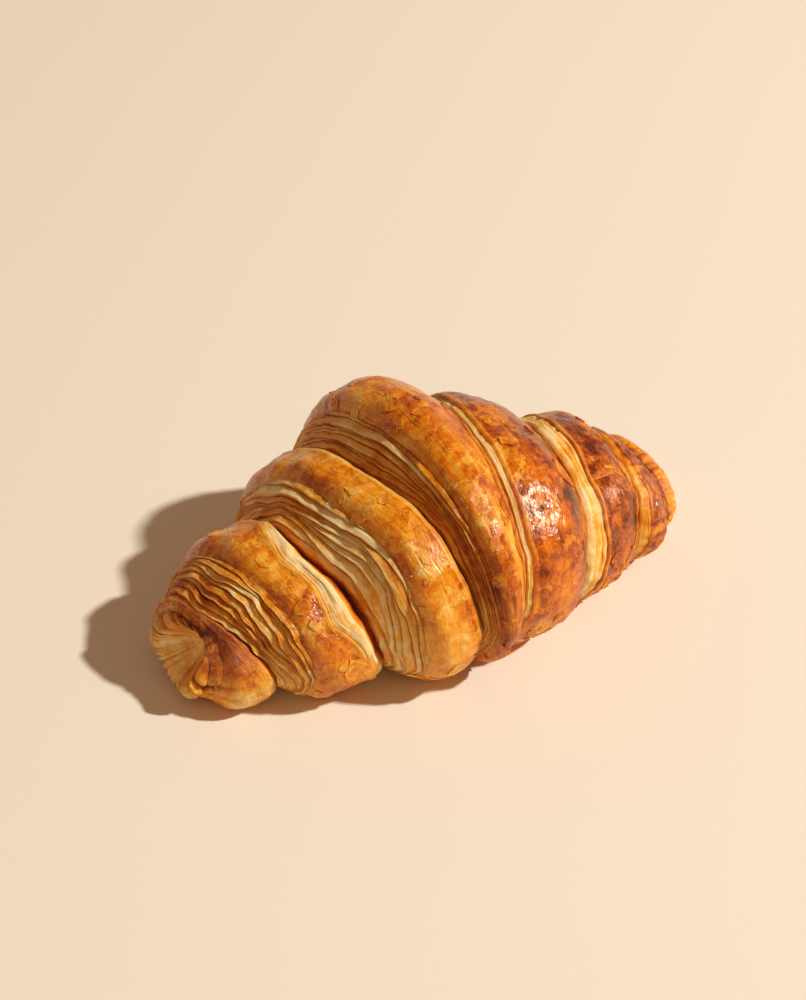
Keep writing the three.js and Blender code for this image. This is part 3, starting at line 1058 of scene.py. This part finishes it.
def scale_mesh(number):
    """A ragged plate of radius 1, flat for now, with its lift in an attribute."""
    dice = np.random.default_rng(SCALE_SEED + number)
    turn = np.arange(SCALE_SIDES) * 2 * math.pi / SCALE_SIDES + dice.uniform(-0.22, 0.22, SCALE_SIDES)
    ragged = dice.uniform(0.7, 1.1, SCALE_SIDES)
    rim = np.stack([np.cos(turn) * ragged, np.sin(turn) * ragged * 0.7], 1)
    curl = SCALE_CURL * np.clip(rim[:, 0], 0, 1) ** 2 * dice.uniform(0.2, 1)
    flat, lift = [np.zeros((1, 2))], [[SCALE_RINGS[0][1]]]
    for share, height in SCALE_RINGS[1:]:
        flat.append(rim * share)
        lift.append(height + curl * share ** 2)
    flat += [rim, np.zeros((1, 2))]
    lift += [np.full(SCALE_SIDES, SCALE_ROOT), [SCALE_ROOT]]
    flat, lift = np.concatenate(flat), np.concatenate(lift)
    inner, outer, root, under = (1 + ring * SCALE_SIDES for ring in range(4))
    sides = []
    for i in range(SCALE_SIDES):
        j = (i + 1) % SCALE_SIDES
        sides += [(0, inner + i, inner + j), (inner + i, outer + i, outer + j, inner + j),
                  (outer + i, root + i, root + j, outer + j), (root + i, under, root + j)]
    mesh = bpy.data.meshes.new(f"scale_{number}")
    mesh.from_pydata([(x, y, 0) for x, y in flat], [], sides)
    mesh.shade_smooth()
    for edge in mesh.edges:
        edge.use_edge_sharp = all(outer <= v < root for v in edge.vertices)
    tint = dice.uniform(-0.08, 0.14)
    keep(mesh, "lift", lift * MM)
    keep(mesh, "tone", PLAIN + tint + 0.12 * (lift > SCALE_RINGS[1][1] + 0.1))
    keep(mesh, "gloss", np.full(len(lift), SCALE_GLOSS))
    keep(mesh, "cut", np.full(len(lift), SCALE_CUT))
    dough_map = mesh.uv_layers.new(name="dough")
    for corner in mesh.loops:
        x, y = flat[corner.vertex_index]
        dough_map.data[corner.index].uv = (x / 6 + number, y / 3)
    return mesh


shelf = bpy.data.collections.new("scale_shapes")
for number in range(SCALE_SHAPES):
    shelf.objects.link(bpy.data.objects.new(f"scale_{number}", scale_mesh(number)))


# %% The tree that scatters them
def scatter_tree(material):
    tree = bpy.data.node_groups.new("scattered_scales", "GeometryNodeTree")
    for name, kind in (("Crust", "Geometry"), ("Density", "Float"), ("Smallest", "Float"),
                       ("Largest", "Float"), ("Seed", "Int")):
        tree.interface.new_socket(name, in_out="INPUT", socket_type=f"NodeSocket{kind}")
    tree.interface.new_socket("Scales", in_out="OUTPUT", socket_type="NodeSocketGeometry")
    grow = Graph(tree)
    entry = tree.nodes.new("NodeGroupInput")
    surface, density, smallest, largest, seed = (Wire(grow, socket) for socket in entry.outputs[:5])

    def chance(kind, low_value, high_value, number):
        return grow.node("FunctionNodeRandomValue", dict(data_type=kind), Min=low_value, Max=high_value,
                         Seed=number, out=dict(FLOAT=1, INT=2)[kind])

    def named(name):
        return grow.node("GeometryNodeInputNamedAttribute", dict(data_type="FLOAT"), Name=name)

    flaky = named("flaky")
    spots = grow.node("GeometryNodeDistributePointsOnFaces", {}, Mesh=surface, Density=density * flaky,
                      Seed=seed)
    upright = Wire(grow, spots.socket.node.outputs["Rotation"])
    spin = grow.node("FunctionNodeAxisAngleToRotation", {}, Axis=(0, 0, 1),
                     Angle=chance("FLOAT", 0.0, 6.28, 1))
    laid = grow.node("FunctionNodeRotateRotation", dict(rotation_space="LOCAL"), Rotation=upright,
                     Rotate_By=spin)
    shapes = grow.node("GeometryNodeCollectionInfo", {}, Collection=shelf, Separate_Children=True)
    size = chance("FLOAT", smallest, largest, 2)
    shape = chance("INT", 0, SCALE_SHAPES - 1, 3)
    placed = grow.node("GeometryNodeInstanceOnPoints", {}, Points=spots, Instance=shapes,
                       Pick_Instance=True, Instance_Index=shape, Rotation=laid, Scale=size)
    real = grow.node("GeometryNodeRealizeInstances", {}, Geometry=placed)
    nearest = grow.node("GeometryNodeProximity", dict(target_element="FACES"), Geometry=surface)
    normal = grow.node("GeometryNodeInputNormal", {})
    outward = grow.node("GeometryNodeSampleNearestSurface", dict(data_type="FLOAT_VECTOR"), Mesh=surface,
                        Value=normal)
    lift = grow.node("ShaderNodeVectorMath", dict(operation="SCALE"), Vector=outward, Scale=named("lift"))
    hug = grow.node("ShaderNodeVectorMath", dict(operation="ADD"), nearest, lift)
    hugged = grow.node("GeometryNodeSetPosition", {}, Geometry=real, Position=hug)
    dressed = grow.node("GeometryNodeSetMaterial", {}, Geometry=hugged, Material=material)
    leave = tree.nodes.new("NodeGroupOutput")
    grow.plug(leave.inputs[0], dressed)
    return tree


def scatter(name, tree, **inputs):
    """Run the tree on the crust and keep its result as a plain mesh."""
    piece = bpy.data.objects.new(name, crust_mesh.copy())
    bpy.context.collection.objects.link(piece)
    growth = piece.modifiers.new("scales", "NODES")
    growth.node_group = tree
    for socket in tree.interface.items_tree:
        if socket.name in inputs:
            growth[socket.identifier] = inputs[socket.name]
    bpy.context.view_layer.update()
    grown = piece.evaluated_get(bpy.context.evaluated_depsgraph_get())
    piece.data = bpy.data.meshes.new_from_object(grown)
    piece.modifiers.clear()
    piece.data.name = name
    print(f"{name}: {len(piece.data.polygons) // (4 * SCALE_SIDES)} scales")
    return piece


SMALL = dict(Density=20000.0, Smallest=0.9 * MM, Largest=3.0 * MM, Seed=4)  # density per square metre
LARGE = dict(Density=4200.0, Smallest=3.0 * MM, Largest=6.5 * MM, Seed=9)

tree = scatter_tree(crust_mesh.materials[0])
small_scales = scatter("small_scales", tree, **SMALL)
large_scales = scatter("large_scales", tree, **LARGE)
for shape in list(shelf.objects):
    bpy.data.objects.remove(shape)
bpy.data.collections.remove(shelf)
bpy.data.node_groups.remove(tree)


# %% [markdown]
# ## Handing the crust over
# The crust stands in for the plain solid of the imported model and rides on its only body.

# %% Ride and replace
for piece in (crust, small_scales, large_scales):
    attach(piece, "root")
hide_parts("croissant")
